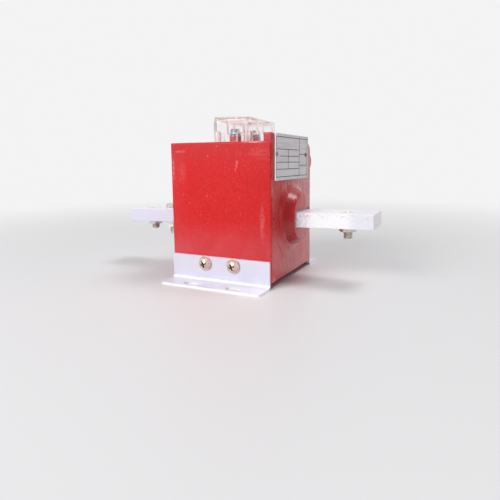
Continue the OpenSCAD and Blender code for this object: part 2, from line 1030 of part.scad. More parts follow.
module rating_plate() {
    color("#b9b9bc")
        difference() {
            at_plate()
                rotate([90, 0, 90])
                    difference() {
                        linear_extrude(plate_t)
                            rounded_square(plate_l, plate_h, plate_corner_r);
                        translate([0, 0, plate_t - line_depth])
                            linear_extrude(line_depth + over)
                                plate_lines();
                    }
            at_rivets()
                translate([0, 0, -over])
                    cylinder(h = plate_t + 2 * over, d = rivet_d + 2 * fit);
        }
}

// Etched border and ruling of the plate: a wide table of five rows beside a narrow column of three
module plate_lines() {
    w = plate_l - 2 * border_inset;
    h = plate_h - 2 * border_inset;
    column_x = 0.2 * plate_l;
    split_x = -0.14 * plate_l;
    rows = [for (k = [0.2, 0.37, 0.52, 0.69]) (k - 0.5) * h];
    column_rows = [for (k = [0.28, 0.58]) (k - 0.5) * h];
    left = -w / 2;
    // Length that the second row from the top is short at its left end
    short = 7;
    difference() {
        square([w, h], center = true);
        square([w - 2 * line_w, h - 2 * line_w], center = true);
    }
    ruling([column_x, -h / 2], [column_x, h / 2]);
    for (i = [0:3])
        ruling([left + (i == 2 ? short : 0), rows[i]], [column_x, rows[i]]);
    ruling([split_x, rows[0]], [split_x, rows[3]]);
    for (z = column_rows)
        ruling([column_x, z], [w / 2, z]);
}

// Straight etched line between two points, upright or level
module ruling(a, b) {
    translate([min(a[0], b[0]) - line_w / 2, min(a[1], b[1]) - line_w / 2])
        square([abs(a[0] - b[0]) + line_w, abs(a[1] - b[1]) + line_w]);
}

module plate_rivets() {
    color("#4a3a30")
        at_rivets() {
            translate([0, 0, plate_t])
                dome(rivet_head_d, rivet_head_h);
            translate([0, 0, -rivet_l])
                cylinder(h = rivet_l + plate_t + weld, d = rivet_d);
        }
}

// Low round head on z = 0
module dome(d, h) {
    r = (d * d / 4 + h * h) / (2 * h);
    rotate_extrude()
        intersection() {
            square([d / 2, h]);
            translate([0, h - r])
                circle(r);
        }
}

// Bent section of a bracket, as [outward from the casting, height]
module bracket_section() {
    outer_r = fold_r + sheet_t;
    difference() {
        union() {
            translate([0, outer_r])
                square([sheet_t, bracket_h - outer_r]);
            translate([outer_r, 0])
                square([foot_l - outer_r, sheet_t]);
            intersection() {
                translate([outer_r, outer_r])
                    circle(outer_r);
                square([outer_r, outer_r]);
            }
        }
        translate([outer_r, outer_r])
            circle(fold_r);
    }
}

module bracket(side) {
    rotate([0, 0, side > 0 ? 180 : 0])
        translate([0, -face_y, 0])
            difference() {
                intersection() {
                    rotate([90, 0, -90])
                        linear_extrude(bracket_w, center = true)
                            bracket_section();
                    rotate([0, 0, 180])
                        linear_extrude(bracket_h)
                            top_rounded(bracket_w, foot_l, sheet_corner_r);
                    rotate([90, 0, 0])
                        linear_extrude(foot_l)
                            top_rounded(bracket_w, bracket_h, sheet_corner_r / 2);
                }
                for (s = [-1, 1]) {
                    translate([s * slot_pitch / 2, -slot_out, -over])
                        linear_extrude(sheet_t + 2 * over)
                            slot_outline(slot_l, slot_w);
                    translate([s * bracket_screw_pitch / 2, over, bracket_screw_z])
                        rotate([90, 0, 0])
                            cylinder(h = sheet_t + 2 * over, d = bracket_thread_d + hole_play);
                }
            }
}

module front_bracket() {
    color("#e4e2ee")
        bracket(-1);
}

module rear_bracket() {
    color("#e4e2ee")
        bracket(1);
}

// Cross-recess pan head screw: the head's seat is at z = 0 and the thread points down
module bracket_screw() {
    difference() {
        union() {
            cylinder(h = bracket_head_rim, d = bracket_head_d);
            translate([0, 0, bracket_head_rim])
                dome(bracket_head_d, bracket_head_h - bracket_head_rim);
            translate([0, 0, -bracket_screw_l])
                cylinder(h = bracket_screw_l + weld, d = bracket_thread_d);
        }
        translate([0, 0, bracket_head_h - cross_depth])
            intersection() {
                for (a = [0, 90])
                    rotate([0, 0, a])
                        translate([-cross_d / 2, -cross_w / 2, 0])
                            cube([cross_d, cross_w, cross_depth]);
                cylinder(h = cross_depth, d1 = cross_tip_d, d2 = cross_d);
            }
    }
}

module bracket_screws(side) {
    at_bracket_screws(side)
        translate([0, 0, sheet_t])
            rotate([0, 0, bracket_screw_turn])
                bracket_screw();
}

module front_bracket_screws() {
    color("#c8b878")
        bracket_screws(-1);
}

module rear_bracket_screws() {
    color("#c8b878")
        bracket_screws(1);
}

module bracket_inserts() {
    bore_l = bracket_screw_l - sheet_t + weld;
    color("#c9a44c")
        for (side = [-1, 1])
            at_bracket_screws(side)
                translate([0, 0, -bracket_insert_l])
                    difference() {
                        cylinder(h = bracket_insert_l, d = bracket_insert_d);
                        translate([0, 0, bracket_insert_l - bore_l])
                            cylinder(h = bore_l + over, d = bracket_thread_d + fit);
                    }
}

resin_body();
primary_bar();
bar_sleeve();
right_bar_screw();
right_bar_nut();
left_bar_screw();
left_bar_nut();
left_hex_bolt();
left_hex_nut();
strip_core();
core_insulation();
secondary_winding();
winding_tape();
start_lead();
finish_lead();
terminal_inserts();
terminal_flat_washers();
terminal_spring_washers();
terminal_clamp_washers();
terminal_screws();
terminal_cover();
cover_screw();
cover_insert();
rating_plate();
plate_rivets();
front_bracket();
rear_bracket();
front_bracket_screws();
rear_bracket_screws();
bracket_inserts();
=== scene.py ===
"""Looks of the cast-resin current transformer on a pale floor in soft studio light, in metres."""

import math

import bmesh
import bpy
from mathutils import Matrix, Vector


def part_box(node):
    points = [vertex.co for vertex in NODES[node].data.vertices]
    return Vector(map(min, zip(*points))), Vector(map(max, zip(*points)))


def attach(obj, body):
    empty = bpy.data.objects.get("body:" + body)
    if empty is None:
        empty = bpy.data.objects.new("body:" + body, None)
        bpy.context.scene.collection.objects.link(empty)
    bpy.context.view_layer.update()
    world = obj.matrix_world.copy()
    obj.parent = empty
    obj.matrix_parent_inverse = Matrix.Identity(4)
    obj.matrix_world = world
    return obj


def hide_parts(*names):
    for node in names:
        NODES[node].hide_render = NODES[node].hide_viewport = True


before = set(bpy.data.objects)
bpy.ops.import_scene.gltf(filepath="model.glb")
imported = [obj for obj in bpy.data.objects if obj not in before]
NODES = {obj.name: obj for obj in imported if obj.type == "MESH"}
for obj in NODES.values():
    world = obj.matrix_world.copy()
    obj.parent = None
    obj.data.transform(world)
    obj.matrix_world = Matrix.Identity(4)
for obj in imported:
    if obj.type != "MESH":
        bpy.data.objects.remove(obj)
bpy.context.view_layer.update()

MM = 0.001
MM_IN_METRE = 1000.0
X, Y, Z = range(3)

# The photograph's camera, solved from the casting's edges
CAMERA_PLACE = Vector((193.74, -380.2, 109.88)) * MM
CAMERA_YAW = math.radians(26.55)
CAMERA_PITCH = math.radians(7.61)
CAMERA_ROLL = math.radians(-0.72)
CAMERA_LENS = 32.94
CAMERA_SENSOR = 36.0
CAMERA_SHIFT = (0.0031, -0.0676)
CAMERA_CLIP = 10 * MM

# Colour of the backdrop, and the world's strength where it is seen and where it only lights
BACKDROP = (0.90, 0.90, 0.91)
WORLD_SEEN = 1.0
WORLD_FILL = 0.36

# Half width of the floor, its two tones, and the distances over which it fades into the backdrop
FLOOR_REACH = 6.0
FLOOR_TONES = ((0.78, 0.78, 0.79), (0.81, 0.81, 0.82))
FLOOR_FADE = (0.18, 0.8)

# Square soft lights that point at LIT_POINT: name, place, width and watts
LIT_POINT = Vector((0, 0, 60 * MM))
LIGHTS = [
    ("key", Vector((-0.45, -1.25, 0.75)), 0.8, 15.0),
    ("top", Vector((0.45, 0.25, 1.25)), 0.45, 6.0),
]

# The bar and its screws lean with their right end up; their thread is the coarse metric one
BAR_TILT = math.radians(1.1)
THREAD_RADIUS = 4.0 * MM
THREAD_PITCH = 1.25 * MM
THREAD_DEPTH = 0.72 * MM
TIP_CHAMFER = 1.0 * MM

# Steepness of the thread's flanks, and how far its flat crest is drawn out
FLANK_STEEPNESS = 1.3
CREST_FLAT = 0.15

# How far the thread is modelled up into the nut, and its steps round and along one turn
THREAD_IN_NUT = 0.8 * MM
THREAD_SEGMENTS = 48
THREAD_ROWS = 14

# Distance at which points are one point, and height above the lowest point that is still the tip
WELD = 0.001 * MM
TIP_LEVEL = 0.02 * MM

# Edges that turn more than this stay sharp
SHARP = math.radians(28)

# Screws that get a thread: their solid, the nut on it and the material of the head
THREADED_SCREWS = [
    ("right_bar_screw", "right_bar_nut", "pale_steel"),
    ("left_bar_screw", "left_bar_nut", "pale_steel"),
    ("left_hex_bolt", "left_hex_nut", "bolt_steel"),
]

# The rating plate's turn, the width of its ink and how softly that ends
PLATE_TURN = math.radians(0.9)
INK_WIDTH = 1.1 * MM
INK_SOFT = 0.08 * MM

# The plate's upright lines in millimetres: middle, foot and top
UPRIGHT_LINES = [
    (-36.75, -17.0, 17.0),
    (-11.06, -10.0, 6.4),
    (15.8, -17.0, 17.0),
    (36.75, -17.0, 17.0),
]

# Colours of the casting, from its fresh resin to what lies on it, and the painted shade, highlights
# and reflections laid on it
RESIN = {
    "deep": (0.60, 0.0075, 0.0085),
    "fresh": (0.68, 0.012, 0.013),
    "mottle": (0.53, 0.008, 0.012),
    "shaded high side": (0.44, 0.006, 0.007),
    "shaded front": (0.46, 0.003, 0.004),
    "far side reflection": (0.80, 0.40, 0.46),
    "dust_and_sheen": (0.58, 0.33, 0.40),
    "rib": (0.46, 0.085, 0.125),
    "grain": (0.80, 0.24, 0.26),
    "streak": (0.68, 0.44, 0.44),
    "drip": (0.32, 0.004, 0.006),
    "speck": (0.88, 0.40, 0.42),
    "blot": (0.92, 0.48, 0.50),
    "scuff and highlight": (0.95, 0.60, 0.62),
    "pit": (0.07, 0.010, 0.02),
    "chip": (0.88, 0.50, 0.50),
    # painted shade on the boss's flank
    "flank": (0.38, 0.003, 0.005),
}

# Lean of the streaks and drips on the casting's side, in degrees
DRIP_TURN = (8, 0, 0)

# Pale dots on the casting: width of a cell in millimetres, channel and range of the random colour
# that picks cells, rim and core as shares of a cell, strength and colour
PALE_DOTS = [
    (3.6, X, (0.45, 0.85), (0.17, 0.07), 0.2, "speck"),
    (11.0, Y, (0.3, 0.8), (0.09, 0.03), 0.3, "blot"),
]

# Marks on the casting in millimetres, with painted highlights along the front's top edge and on the
# rib: the middle, the half sizes and, where pale, the strength
PALE_SCUFFS_AND_HIGHLIGHTS = [
    ((17.8, -48.0, 104.0), (1.6, 2.0, 2.6), 0.24),
    ((17.2, -48.0, 101.2), (1.5, 2.0, 3.0), 0.22),
    ((16.2, -48.0, 98.4), (1.2, 2.0, 3.0), 0.16),
    ((40.0, -48.0, 55.0), (3.4, 2.0, 22.0), 0.13),
    ((-38.0, -48.0, 113.5), (8.5, 2.0, 1.6), 0.20),
    ((35.0, -48.0, 110.4), (14.0, 2.0, 1.0), 0.12),
    ((40.0, -48.0, 107.0), (9.0, 2.0, 0.9), 0.07),
    ((38.0, -48.0, 112.0), (13.0, 2.0, 8.0), 0.06),
    ((-45.5, -48.0, 98.0), (2.2, 2.0, 16.0), 0.22),
    ((-36.0, -48.0, 96.0), (7.0, 2.0, 14.0), 0.06),
    ((48.0, -44.0, 8.0), (1.5, 4.0, 4.5), 0.60),
    # painted highlights: the front's top edge, the rib's top and the rib's left edge
    ((33.0, -48.0, 120.4), (15.0, 2.5, 1.1), 0.80),
    ((44.0, -48.0, 127.2), (5.0, 2.5, 1.2), 0.80),
    ((41.2, -48.0, 124.6), (0.9, 2.0, 3.4), 0.30),
]
DARK_PITS = [
    ((48.0, -42.0, 58.0), (1.5, 1.8, 1.5)),
    ((48.0, -40.0, 50.0), (1.5, 1.3, 1.1)),
    ((48.0, 12.0, 77.0), (1.5, 1.5, 0.8)),
    ((48.0, -30.0, 92.0), (1.5, 1.4, 1.2)),
    ((48.0, 4.0, 30.0), (1.5, 1.6, 0.9)),
    ((48.0, -8.0, 35.0), (1.5, 1.2, 0.9)),
    ((48.0, -20.0, 60.0), (1.5, 0.8, 2.6)),
    ((48.0, -45.0, 9.0), (1.5, 1.0, 2.0)),
]
# A patch of the right side that looks wet, in the same terms
WET_PATCH = ((48.0, -44.0, 72.0), (4.0, 12.0, 20.0))

# Colours of the bar, in pairs where it varies between two, and a painted highlight for its top face
ALUMINIUM = {
    "dull": ((0.68, 0.67, 0.80), (0.74, 0.73, 0.85)),
    "bright": ((0.92, 0.93, 0.96), (0.96, 0.97, 1.0)),
    "right end": (0.76, 0.75, 0.84),
    "grain": (0.76, 0.74, 0.80),
    "smudge": (0.48, 0.44, 0.48),
    "smear": (0.54, 0.45, 0.56),
    "sawn": ((1.0, 0.94, 0.96), (0.93, 0.82, 0.84)),
    # painted highlight on the top face
    "top": (0.97, 0.95, 0.98),
    "edge": (1.0, 0.99, 1.0),
}

# Colours of the folded feet, with painted light on the flat tops, the fold and the sheared edges
ZINC = {
    "pale": (0.72, 0.705, 0.80),
    "grey": (0.68, 0.665, 0.765),
    "foot of leg": (0.67, 0.69, 0.88),
    # painted light on faces that look up
    "flat": (0.82, 0.81, 0.90),
    "fold": (0.98, 0.98, 1.0),
    "edge": (0.96, 0.96, 0.98),
    "scratch": (0.62, 0.61, 0.68),
    "sheared and lit": (0.95, 0.94, 0.95),
}

# Plating of the bracket screws, which drifts from green through straw, silver and pink to tan
IRIDESCENT = [
    (0.32, (0.36, 0.48, 0.26)),
    (0.42, (0.70, 0.64, 0.40)),
    (0.50, (0.80, 0.76, 0.68)),
    (0.57, (0.82, 0.44, 0.46)),
    (0.70, (0.70, 0.54, 0.36)),
]
SCREW_STAIN = (0.34, 0.22, 0.11)
# Painted shade, dark brown, in the screws' recesses and corners
SCREW_RECESS_SHADE = (0.12, 0.06, 0.025)

# Colours of the cover's clear plastic and of light that has come through it
PLASTIC = {
    "clear": (1.0, 0.994, 1.0),
    "milky": (0.998, 0.988, 0.998),
    "rim": (0.95, 0.86, 0.81),
    "depth": (0.97, 0.90, 0.90),
}
PLASTIC_DENSITY = 24.0

# Widths in from the cover's outside between which its corners and its roof count as rim
COVER_CORNER = (3.5 * MM, 2.5 * MM)
COVER_ROOF = (7.5 * MM, 5.5 * MM)

# Colours of the rating plate
PLATE = {
    "light": (0.59, 0.56, 0.585),
    "dark": (0.49, 0.465, 0.485),
    "stain": (0.44, 0.43, 0.42),
    "near edge": (0.98, 0.97, 1.0),
    "rim": (0.96, 0.95, 0.97),
    "ink": (0.015, 0.013, 0.015),
}

# Ranges of roughness that several materials share
DULL = (0.34, 0.55)
TURNED = (0.25, 0.4)
MATT = (0.5, 0.7)

# Plated steels: light tone, dark tone, roughness, and the pieces that are all of that steel
STEEL_EDGE = (0.86, 0.85, 0.84)
STEELS = {
    "zinc_steel": ((0.70, 0.66, 0.60), (0.46, 0.40, 0.36), DULL, []),
    "bolt_steel": ((0.60, 0.56, 0.55), (0.42, 0.38, 0.37), DULL, []),
    "pale_steel": ((0.86, 0.84, 0.85), (0.68, 0.62, 0.58), DULL, ["left_hex_nut"]),
    "nut_steel": (
        (0.69, 0.67, 0.66), (0.48, 0.43, 0.40), DULL, ["right_bar_nut", "left_bar_nut"],
    ),
    "bright_steel": (
        (0.78, 0.78, 0.80), (0.60, 0.60, 0.63), (0.14, 0.28),
        ["terminal_clamp_washers", "cover_screw"],
    ),
    "dark_steel": (
        (0.44, 0.45, 0.50), (0.16, 0.17, 0.21), (0.2, 0.34),
        ["terminal_flat_washers", "terminal_screws"],
    ),
    "spring_steel": (
        (0.24, 0.23, 0.24), (0.12, 0.11, 0.12), DULL, ["terminal_spring_washers"],
    ),
    "brown_rivet": ((0.26, 0.19, 0.14), (0.12, 0.08, 0.06), DULL, ["plate_rivets"]),
}

# Materials of the hidden pieces: light tone, dark tone, width of a blotch in millimetres, metallic,
# roughness, and the pieces
HIDDEN = {
    "turned_brass": (
        (0.72, 0.54, 0.24), (0.58, 0.42, 0.18), 3, 1.0, TURNED,
        ["terminal_inserts", "cover_insert", "bracket_inserts"],
    ),
    "varnished_copper": (
        (0.62, 0.27, 0.11), (0.50, 0.19, 0.07), 4, 0.8, TURNED,
        ["secondary_winding", "start_lead", "finish_lead"],
    ),
    "strip_steel": (
        (0.40, 0.42, 0.45), (0.30, 0.31, 0.33), 3, 1.0, (0.3, 0.5), ["strip_core"],
    ),
    "core_wrap": ((0.74, 0.66, 0.46), (0.62, 0.54, 0.36), 5, 0.0, MATT, ["core_insulation"]),
    "cotton_tape": ((0.82, 0.76, 0.60), (0.70, 0.64, 0.50), 2, 0.0, MATT, ["winding_tape"]),
    "sleeve_tube": ((0.62, 0.42, 0.38), (0.46, 0.28, 0.25), 4, 0.0, MATT, ["bar_sleeve"]),
}


def rgba(colour):
    """The colour with its alpha, or the socket that gives it."""
    if isinstance(colour, bpy.types.NodeSocket):
        return colour
    return (*colour, 1.0)


class Graph:
    """A node tree, with short names for the nodes that the looks share."""

    def __init__(self, tree):
        self.tree = tree
        tree.nodes.clear()

    def link(self, source, target):
        self.tree.links.new(source, target)

    def feed(self, socket, value):
        """Links a socket's source, or sets its value where it is a number or a colour."""
        if isinstance(value, bpy.types.NodeSocket):
            self.link(value, socket)
        else:
            socket.default_value = value

    def add(self, kind, *values, **settings):
        """Adds a node with its settings, and feeds its first sockets in their order."""
        node = self.tree.nodes.new(kind)
        for key, value in settings.items():
            setattr(node, key, value)
        for socket, value in zip(node.inputs, values):
            self.feed(socket, value)
        return node

    def math(self, operation, a, b=0.0, clamp=False):
        return self.add("ShaderNodeMath", a, b, operation=operation, use_clamp=clamp).outputs[0]

    def product(self, *values, clamp=False):
        whole = values[0]
        for value in values[1:]:
            whole = self.math("MULTIPLY", whole, value, clamp)
        return whole

    def total(self, *values):
        whole = values[0]
        for value in values[1:]:
            whole = self.math("ADD", whole, value)
        return whole

    def most(self, *masks):
        """The strongest of several masks."""
        strongest = masks[0]
        for mask in masks[1:]:
            strongest = self.math("MAXIMUM", strongest, mask)
        return strongest

    def rest(self, mask):
        """What a mask leaves of 1."""
        return self.math("SUBTRACT", 1.0, mask, clamp=True)

    def fade(self, value, start, end, low=0.0, high=1.0, kind="SMOOTHSTEP"):
        """Maps start..end to low..high and holds it outside."""
        node = self.add(
            "ShaderNodeMapRange", value, start, end, low, high, interpolation_type=kind
        )
        return node.outputs[0]

    def seen(self):
        """1 where the camera, clear pieces and reflections look, 0 for light on the object."""
        path = self.add("ShaderNodeLightPath").outputs
        return self.most(
            path["Is Camera Ray"], path["Is Transmission Ray"], path["Is Glossy Ray"]
        )


class Paint(Graph):
    """A material's node graph, whose colour and relief are laid on layer by layer."""

    # Match of the rounded and the true normal on flat ground and on a full edge
    EDGE_MATCH = (0.995, 0.86)
    EDGE_SAMPLES = 6
    # Share of the normal along an axis where a face starts to count and where it counts in full
    FACING_SHARE = (0.6, 0.9)
    # Openness where a hollow starts and where it is full
    OPENNESS = (0.8, 0.35)
    OPENNESS_SAMPLES = 8
    # Levels of noise that stand for the ends of a range
    NOISE_RANGE = (0.3, 0.7)

    def __init__(self, name, colour=None):
        self.material = bpy.data.materials.new(name)
        self.material.use_nodes = True
        super().__init__(self.material.node_tree)
        self.shader = self.add("ShaderNodeBsdfPrincipled")
        self.output = self.add("ShaderNodeOutputMaterial")
        self.link(self.shader.outputs[0], self.output.inputs["Surface"])
        self.place = self.add("ShaderNodeTexCoord").outputs["Object"]
        self.normal = self.add("ShaderNodeNewGeometry").outputs["True Normal"]
        self.colour = colour
        self.relief = None

    def set(self, **values):
        """Sets or feeds the shader's own sockets, named with underscores."""
        for key, value in values.items():
            self.feed(self.shader.inputs[key.replace("_", " ")], value)

    def axis(self, vector, index):
        return self.add("ShaderNodeSeparateXYZ", vector).outputs[index]

    def along(self, index):
        """The place on the object along one axis."""
        return self.axis(self.place, index)

    def stretch(self, scale, turn=(0, 0, 0)):
        """The object's place with each axis scaled, to draw a texture out along one of them."""
        node = self.add("ShaderNodeMapping", self.place)
        node.inputs["Scale"].default_value = scale
        node.inputs["Rotation"].default_value = [math.radians(angle) for angle in turn]
        return node.outputs[0]

    def noise(self, size_mm, detail=3.0, rough=0.55, place=None, distortion=0.0):
        """Noise from 0 to 1 whose blotches are about size_mm across."""
        node = self.add("ShaderNodeTexNoise")
        self.link(place or self.place, node.inputs["Vector"])
        node.inputs["Scale"].default_value = MM_IN_METRE / size_mm
        node.inputs["Detail"].default_value = detail
        node.inputs["Roughness"].default_value = rough
        node.inputs["Distortion"].default_value = distortion
        return node.outputs["Fac"]

    def wander(self, size_mm, detail, low, high):
        """A value that wanders between low and high in blotches about size_mm across."""
        return self.fade(self.noise(size_mm, detail), *self.NOISE_RANGE, low, high)

    def cells(self, size_mm):
        """Voronoi cells about size_mm across: the distance to the middle and a random colour."""
        node = self.add("ShaderNodeTexVoronoi")
        self.link(self.place, node.inputs["Vector"])
        node.inputs["Scale"].default_value = MM_IN_METRE / size_mm
        return node.outputs["Distance"], node.outputs["Color"]

    def mix(self, share, a, b):
        """Colour a where share is 0 and b where it is 1."""
        node = self.add("ShaderNodeMix", share, data_type="RGBA")
        self.feed(node.inputs[6], rgba(a))
        self.feed(node.inputs[7], rgba(b))
        return node.outputs[2]

    def lay(self, share, colour):
        """Lays a colour over the paint's own, as strongly as share says."""
        self.colour = self.mix(share, self.colour, colour)

    def ramp(self, value, stops):
        node = self.add("ShaderNodeValToRGB", value)
        elements = node.color_ramp.elements
        while len(elements) < len(stops):
            elements.new(0.5)
        for element, (position, colour) in zip(elements, stops):
            element.position = position
            element.color = rgba(colour)
        return node.outputs[0]

    def worn_edge(self, radius_mm):
        """1 on edges that stick out or in, 0 on flat ground."""
        bevel = self.add("ShaderNodeBevel", radius_mm * MM, samples=self.EDGE_SAMPLES)
        match = self.add(
            "ShaderNodeVectorMath", bevel.outputs[0], self.normal, operation="DOT_PRODUCT"
        )
        return self.fade(match.outputs["Value"], *self.EDGE_MATCH)

    def facing(self, index, sign=1):
        """1 on faces whose normal points along an axis."""
        share = self.axis(self.normal, index)
        if sign < 0:
            share = self.math("MULTIPLY", share, -1.0)
        return self.fade(share, *self.FACING_SHARE)

    def hollow(self, reach_mm):
        """1 in recesses and corners, 0 in the open."""
        shade = self.add("ShaderNodeAmbientOcclusion", samples=self.OPENNESS_SAMPLES)
        shade.inputs["Distance"].default_value = reach_mm * MM
        return self.fade(shade.outputs["AO"], *self.OPENNESS)

    def band(self, value, low, high, soft):
        """1 between two values, 0 outside, with soft ends."""
        return self.product(
            self.fade(value, low - soft, low + soft), self.fade(value, high + soft, high - soft)
        )

    def spot(self, centre_mm, radii_mm, soft=0.5):
        """1 inside an ellipsoid on the object, 0 outside, with a soft rim."""
        centre, radii = ([part * MM for part in parts] for parts in (centre_mm, radii_mm))
        offset = self.add("ShaderNodeVectorMath", self.place, centre, operation="SUBTRACT")
        scaled = self.add("ShaderNodeVectorMath", offset.outputs[0], radii, operation="DIVIDE")
        away = self.add("ShaderNodeVectorMath", scaled.outputs[0], operation="LENGTH")
        return self.fade(away.outputs["Value"], 1.0, 1.0 - soft)

    def bump(self, height, depth_mm):
        """Adds relief on top of what the paint already has."""
        node = self.add("ShaderNodeBump")
        node.inputs["Strength"].default_value = 1.0
        node.inputs["Distance"].default_value = depth_mm * MM
        self.link(height, node.inputs["Height"])
        if self.relief is not None:
            self.link(self.relief, node.inputs["Normal"])
        self.relief = node.outputs[0]
        self.link(self.relief, self.shader.inputs["Normal"])


def lay_ground_and_light(p, front, side):
    """The red, blotchy, with painted shade high on the side and at the front's right and top, and a
    painted reflection towards the back of the side.
    """
    across, depth, height = (p.along(index) for index in (X, Y, Z))
    p.lay(p.noise(24, 4), RESIN["fresh"])
    p.lay(p.fade(p.noise(2.2, 3), 0.45, 0.75, 0.0, 0.35), RESIN["mottle"])
    # painted shade: the right side darker, more so higher up
    p.lay(p.product(side, p.fade(height, 20 * MM, 60 * MM, 0.0, 0.7)), RESIN["shaded high side"])
    # painted shade: the front darker towards its right and its top
    shaded = p.most(
        p.fade(across, 15 * MM, 46 * MM, 0.0, 0.32),
        p.fade(height, 96 * MM, 118 * MM, 0.0, 0.28),
    )
    p.lay(p.product(front, shaded), RESIN["shaded front"])
    # painted reflection: a pale pink haze on the right side, stronger towards the back
    p.lay(p.product(side, p.fade(depth, 5 * MM, 46 * MM, 0.0, 0.16)), RESIN["far side reflection"])


def lay_dust_and_sheen(p, front):
    """Pale haze low down, near the top and at the front's left edge, partly a dusty film and partly
    painted reflection, a greyed rib and a fine grain.
    """
    height = p.along(Z)
    left_edge = p.product(front, p.fade(p.along(X), -30 * MM, -48 * MM, 0.0, 0.05))
    # pale haze, partly a dusty film and partly painted reflection
    dust_and_sheen = p.total(
        p.fade(height, 60 * MM, 24 * MM, 0.0, 0.13),
        p.fade(height, 92 * MM, 121 * MM, 0.0, 0.04),
        left_edge,
    )
    cloud = p.fade(p.noise(14, 6, 0.7), 0.35, 0.75, 0.65, 1.35)
    p.lay(p.product(dust_and_sheen, cloud, clamp=True), RESIN["dust_and_sheen"])
    rib = p.fade(height, 121.4 * MM, 123 * MM, 0.0, 0.8)
    patchy = p.fade(p.noise(2.2, 4, 0.7), 0.36, 0.64, 0.35, 1.0)
    p.lay(p.product(front, rib, patchy), RESIN["rib"])
    p.lay(p.fade(p.noise(1.8, 5, 0.75), 0.46, 0.8, 0.0, 0.15), RESIN["grain"])


def lay_streaks(p, side):
    """Pale streaks drawn down the right side, and dark drips between them under the plate."""
    height = p.along(Z)
    drawn = p.noise(2.8, 4, 0.65, p.stretch((1, 1, 0.2), DRIP_TURN))
    by_height = p.fade(height, 70 * MM, 82 * MM, 0.14, 0.34)
    p.lay(p.product(p.fade(drawn, 0.52, 0.66), side, by_height), RESIN["streak"])
    under_plate = p.product(side, p.fade(height, 60 * MM, 74 * MM, 0.15, 1.0))
    p.lay(p.product(p.fade(drawn, 0.48, 0.36, 0.0, 0.8), under_plate), RESIN["drip"])


def lay_marks(p):
    """Pale dots, torn scuffing with painted highlights on the top front edge and the rib, chipped
    edges, and dark pits, whose mask it returns.
    """
    for size_mm, channel, picked, dot, strength, colour in PALE_DOTS:
        distance, random_colour = p.cells(size_mm)
        few = p.fade(p.axis(random_colour, channel), *picked)
        p.lay(p.product(p.fade(distance, *dot), few, strength), RESIN[colour])
    torn = p.noise(2.4, 4, 0.7)
    scuffs_and_highlights = p.most(*[
        p.product(p.spot(middle, radii, soft=0.9), strength)
        for middle, radii, strength in PALE_SCUFFS_AND_HIGHLIGHTS
    ])
    # pale scuffing, and painted highlights on the top front edge and the rib
    p.lay(p.product(scuffs_and_highlights, p.fade(torn, 0.32, 0.6)), RESIN["scuff and highlight"])
    pits = p.most(*[p.spot(*mark) for mark in DARK_PITS])
    p.lay(p.product(pits, 0.9), RESIN["pit"])
    p.lay(p.product(p.worn_edge(1.1), p.fade(torn, 0.44, 0.64), 0.6), RESIN["chip"])
    return pits


def wet_film(p, side, pits):
    """How wet the right side looks: more to the back and low down, and broken into runs."""
    height = p.along(Z)
    film = p.total(
        p.fade(p.along(Y), -46 * MM, 40 * MM, 0.0, 1.05),
        p.fade(height, 56 * MM, 20 * MM, 0.0, 0.6),
        p.product(p.spot(*WET_PATCH, soft=0.9), 0.24),
    )
    drips = p.noise(2.6, 3, 0.6, p.stretch((1, 1, 0.14), DRIP_TURN))
    runs = p.product(
        p.fade(drips, 0.35, 0.65, -0.5, 0.4), p.fade(height, 56 * MM, 72 * MM, 0.4, 1.0)
    )
    fine = p.fade(p.noise(1.7, 3, 0.65), 0.38, 0.62, 0.72, 1.1)
    film = p.product(film, side)
    film = p.product(film, p.math("ADD", 1.0, runs), clamp=True)
    film = p.product(film, fine, clamp=True)
    return p.product(film, p.rest(pits))


def red_resin():
    """Semi-gloss cast resin, scuffed and dusty, with pale specks and a few pits, and painted shade,
    highlights and reflections in its colour.
    """
    p = Paint("red_resin", RESIN["deep"])
    front, side, height = p.facing(Y, -1), p.facing(X), p.along(Z)
    lay_ground_and_light(p, front, side)
    lay_dust_and_sheen(p, front)
    lay_streaks(p, side)
    pits = lay_marks(p)
    film = wet_film(p, side, pits)
    on_boss = p.fade(p.along(X), 48.6 * MM, 50.5 * MM)
    flank = p.product(on_boss, p.rest(side))
    # painted shade: the boss's flank darker than the rest of the casting
    p.lay(p.product(flank, 0.85), RESIN["flank"])
    wet = p.most(
        p.fade(height, 58 * MM, 48 * MM, 0.18, 0.9), p.fade(height, 68 * MM, 75 * MM, 0.18, 0.6)
    )
    p.set(
        Base_Color=p.colour,
        Roughness=p.wander(9, 4, 0.32, 0.44),
        IOR=1.5,
        Coat_Weight=p.most(film, p.product(flank, wet)),
        Coat_Roughness=0.2,
        Specular_IOR_Level=0.22,
    )
    p.bump(p.noise(14, 2), 0.06)
    p.bump(p.product(p.noise(3.2, 6, 0.74), p.most(side, flank)), 0.28)
    p.bump(p.noise(1.4, 3, 0.6), 0.008)
    return p.material


